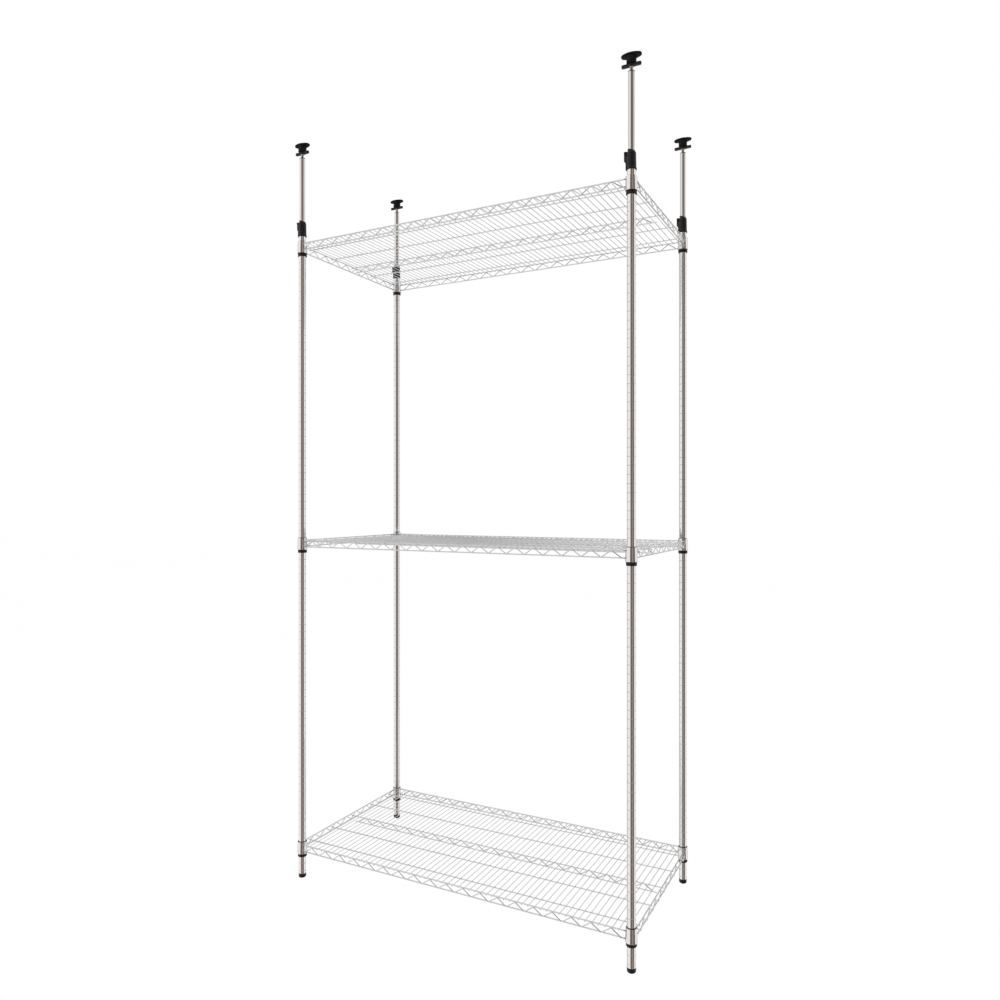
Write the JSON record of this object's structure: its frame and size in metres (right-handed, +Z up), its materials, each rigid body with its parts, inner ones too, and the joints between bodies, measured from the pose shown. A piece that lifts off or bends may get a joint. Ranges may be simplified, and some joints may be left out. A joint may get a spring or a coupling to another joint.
{
  "type": "wire shelving unit",
  "caption": "Floor-to-ceiling chrome wire shelving unit: grooved posts, welded wire shelves on split sleeves, sliding upper poles and screw jacks with ceiling pads.",
  "frame": {"origin": "on the floor, midway between the four posts", "axes": "+X along the width towards the right posts, +Y from the front to the back, +Z up"},
  "size_m": [1.2596, 0.6098, 2.576],
  "materials": {
    "chrome_tube": "polished chrome plate on steel tube",
    "chrome_wire": "bright chrome plate on welded steel wire",
    "chrome_collar": "polished chrome plate on a formed steel ring",
    "plated_steel": "bright zinc plate on turned and threaded steel",
    "black_metal": "satin black coat on a cast metal handle",
    "black_plastic": "satin black moulded plastic",
    "black_pad": "satin black moulded pad, slightly soft"
  },
  "bodies": {
    "shelving_frame": {"post_front_left": "chrome_tube", "joint_clamp_front_left": "black_plastic", "post_front_right": "chrome_tube", "joint_clamp_front_right": "black_plastic", "post_back_left": "chrome_tube", "joint_clamp_back_left": "black_plastic", "post_back_right": "chrome_tube", "joint_clamp_back_right": "black_plastic", "lower_shelf_deck": "chrome_wire", "lower_shelf_centre_truss": "chrome_wire", "lower_shelf_front_truss": "chrome_wire", "lower_shelf_back_truss": "chrome_wire", "lower_shelf_left_truss": "chrome_wire", "lower_shelf_right_truss": "chrome_wire", "lower_shelf_collars": "chrome_collar", "middle_shelf_deck": "chrome_wire", "middle_shelf_centre_truss": "chrome_wire", "middle_shelf_front_truss": "chrome_wire", "middle_shelf_back_truss": "chrome_wire", "middle_shelf_left_truss": "chrome_wire", "middle_shelf_right_truss": "chrome_wire", "middle_shelf_collars": "chrome_collar", "upper_shelf_deck": "chrome_wire", "upper_shelf_centre_truss": "chrome_wire", "upper_shelf_front_truss": "chrome_wire", "upper_shelf_back_truss": "chrome_wire", "upper_shelf_left_truss": "chrome_wire", "upper_shelf_right_truss": "chrome_wire", "upper_shelf_collars": "chrome_collar", "split_sleeves": "black_plastic", "feet": "black_plastic"},
    "lever_front_left": {"clamp_lever_front_left": "black_plastic"},
    "pole_front_left": {"upper_pole_front_left": "chrome_tube", "pole_guide_front_left": "black_plastic", "pole_nut_front_left": "black_plastic"},
    "pad_front_left": {"ceiling_pad_front_left": "black_pad"},
    "jack_front_left": {"jack_rod_front_left": "plated_steel", "wing_handle_front_left": "black_metal"},
    "lever_front_right": {"clamp_lever_front_right": "black_plastic"},
    "pole_front_right": {"upper_pole_front_right": "chrome_tube", "pole_guide_front_right": "black_plastic", "pole_nut_front_right": "black_plastic"},
    "pad_front_right": {"ceiling_pad_front_right": "black_pad"},
    "jack_front_right": {"jack_rod_front_right": "plated_steel", "wing_handle_front_right": "black_metal"},
    "lever_back_left": {"clamp_lever_back_left": "black_plastic"},
    "pole_back_left": {"upper_pole_back_left": "chrome_tube", "pole_guide_back_left": "black_plastic", "pole_nut_back_left": "black_plastic"},
    "pad_back_left": {"ceiling_pad_back_left": "black_pad"},
    "jack_back_left": {"jack_rod_back_left": "plated_steel", "wing_handle_back_left": "black_metal"},
    "lever_back_right": {"clamp_lever_back_right": "black_plastic"},
    "pole_back_right": {"upper_pole_back_right": "chrome_tube", "pole_guide_back_right": "black_plastic", "pole_nut_back_right": "black_plastic"},
    "pad_back_right": {"ceiling_pad_back_right": "black_pad"},
    "jack_back_right": {"jack_rod_back_right": "plated_steel", "wing_handle_back_right": "black_metal"}
  },
  "joints": [
    {"name": "front_left_clamp_lever", "type": "hinge", "parent": "shelving_frame", "child": "lever_front_left", "pos_m": [-0.6164, -0.2875, 2.3002], "axis": [0, 1, 0], "range_deg": [0, 90]},
    {"name": "front_left_pole_slide", "type": "slide", "parent": "shelving_frame", "child": "pole_front_left", "axis": [0, 0, 1], "range_m": [-0.15, 0.15]},
    {"name": "front_left_jack_rise", "type": "slide", "parent": "pole_front_left", "child": "pad_front_left", "axis": [0, 0, 1], "range_m": [-0.01, 0.025]},
    {"name": "front_left_jack_turn", "type": "hinge", "parent": "pad_front_left", "child": "jack_front_left", "pos_m": [-0.6, -0.2875, 2.547], "axis": [0, 0, 1], "range_deg": [-2880, 7200]},
    {"name": "front_right_clamp_lever", "type": "hinge", "parent": "shelving_frame", "child": "lever_front_right", "pos_m": [0.5836, -0.2875, 2.3002], "axis": [0, 1, 0], "range_deg": [0, 90]},
    {"name": "front_right_pole_slide", "type": "slide", "parent": "shelving_frame", "child": "pole_front_right", "axis": [0, 0, 1], "range_m": [-0.15, 0.15]},
    {"name": "front_right_jack_rise", "type": "slide", "parent": "pole_front_right", "child": "pad_front_right", "axis": [0, 0, 1], "range_m": [-0.01, 0.025]},
    {"name": "front_right_jack_turn", "type": "hinge", "parent": "pad_front_right", "child": "jack_front_right", "pos_m": [0.6, -0.2875, 2.547], "axis": [0, 0, 1], "range_deg": [-2880, 7200]},
    {"name": "back_left_clamp_lever", "type": "hinge", "parent": "shelving_frame", "child": "lever_back_left", "pos_m": [-0.6164, 0.2875, 2.3002], "axis": [0, 1, 0], "range_deg": [0, 90]},
    {"name": "back_left_pole_slide", "type": "slide", "parent": "shelving_frame", "child": "pole_back_left", "axis": [0, 0, 1], "range_m": [-0.15, 0.15]},
    {"name": "back_left_jack_rise", "type": "slide", "parent": "pole_back_left", "child": "pad_back_left", "axis": [0, 0, 1], "range_m": [-0.01, 0.025]},
    {"name": "back_left_jack_turn", "type": "hinge", "parent": "pad_back_left", "child": "jack_back_left", "pos_m": [-0.6, 0.2875, 2.547], "axis": [0, 0, 1], "range_deg": [-2880, 7200]},
    {"name": "back_right_clamp_lever", "type": "hinge", "parent": "shelving_frame", "child": "lever_back_right", "pos_m": [0.5836, 0.2875, 2.3002], "axis": [0, 1, 0], "range_deg": [0, 90]},
    {"name": "back_right_pole_slide", "type": "slide", "parent": "shelving_frame", "child": "pole_back_right", "axis": [0, 0, 1], "range_m": [-0.15, 0.15]},
    {"name": "back_right_jack_rise", "type": "slide", "parent": "pole_back_right", "child": "pad_back_right", "axis": [0, 0, 1], "range_m": [-0.01, 0.025]},
    {"name": "back_right_jack_turn", "type": "hinge", "parent": "pad_back_right", "child": "jack_back_right", "pos_m": [0.6, 0.2875, 2.547], "axis": [0, 0, 1], "range_deg": [-2880, 7200]}
  ],
  "couplings": [
    {"joint": "front_left_jack_rise", "follows": "front_left_jack_turn", "m_per_rad": 0.00019894},
    {"joint": "front_right_jack_rise", "follows": "front_right_jack_turn", "m_per_rad": 0.00019894},
    {"joint": "back_left_jack_rise", "follows": "back_left_jack_turn", "m_per_rad": 0.00019894},
    {"joint": "back_right_jack_rise", "follows": "back_right_jack_turn", "m_per_rad": 0.00019894}
  ]
}
